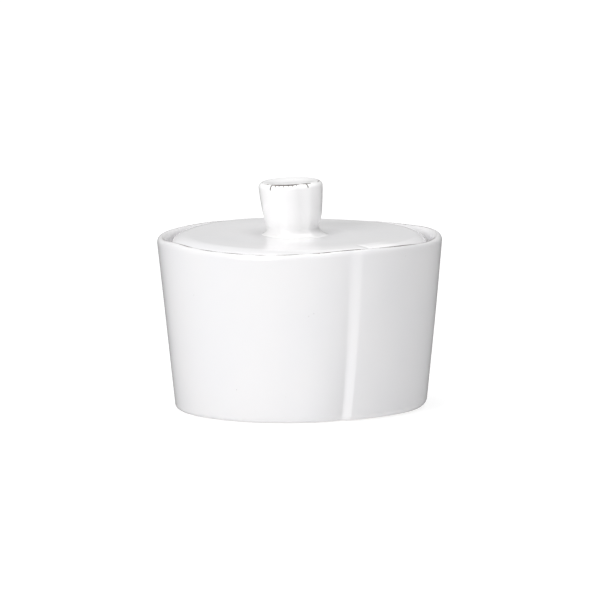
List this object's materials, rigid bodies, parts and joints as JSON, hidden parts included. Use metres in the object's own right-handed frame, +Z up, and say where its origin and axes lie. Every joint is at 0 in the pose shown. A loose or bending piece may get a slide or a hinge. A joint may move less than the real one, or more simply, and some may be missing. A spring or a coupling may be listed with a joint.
{
  "type": "sugar bowl",
  "caption": "Round tapered slab-built sugar bowl with a lapped wall seam and a drop-in lid with a leaning knob, which lifts straight off.",
  "frame": {"origin": "middle of the foot, on the surface that the bowl stands on", "axes": "+Z up, -Y the front, with the wall's lap 21 degrees to the right of it, +X to the right of someone facing the front"},
  "size_m": [0.1104, 0.1104, 0.0885],
  "materials": {
    "glaze": "clear gloss glaze over a white body, thin and dark along the rim and the knob's top edge"
  },
  "bodies": {
    "bowl": {"bowl_wall": "glaze", "bowl_base": "glaze", "lid_ledge": "glaze"},
    "lid": {"lid_plate": "glaze", "lid_flange": "glaze", "lid_knob": "glaze"}
  },
  "joints": [
    {"name": "lid_lift", "type": "slide", "parent": "bowl", "child": "lid", "axis": [0, 0, 1], "range_m": [0, 0.06]}
  ]
}
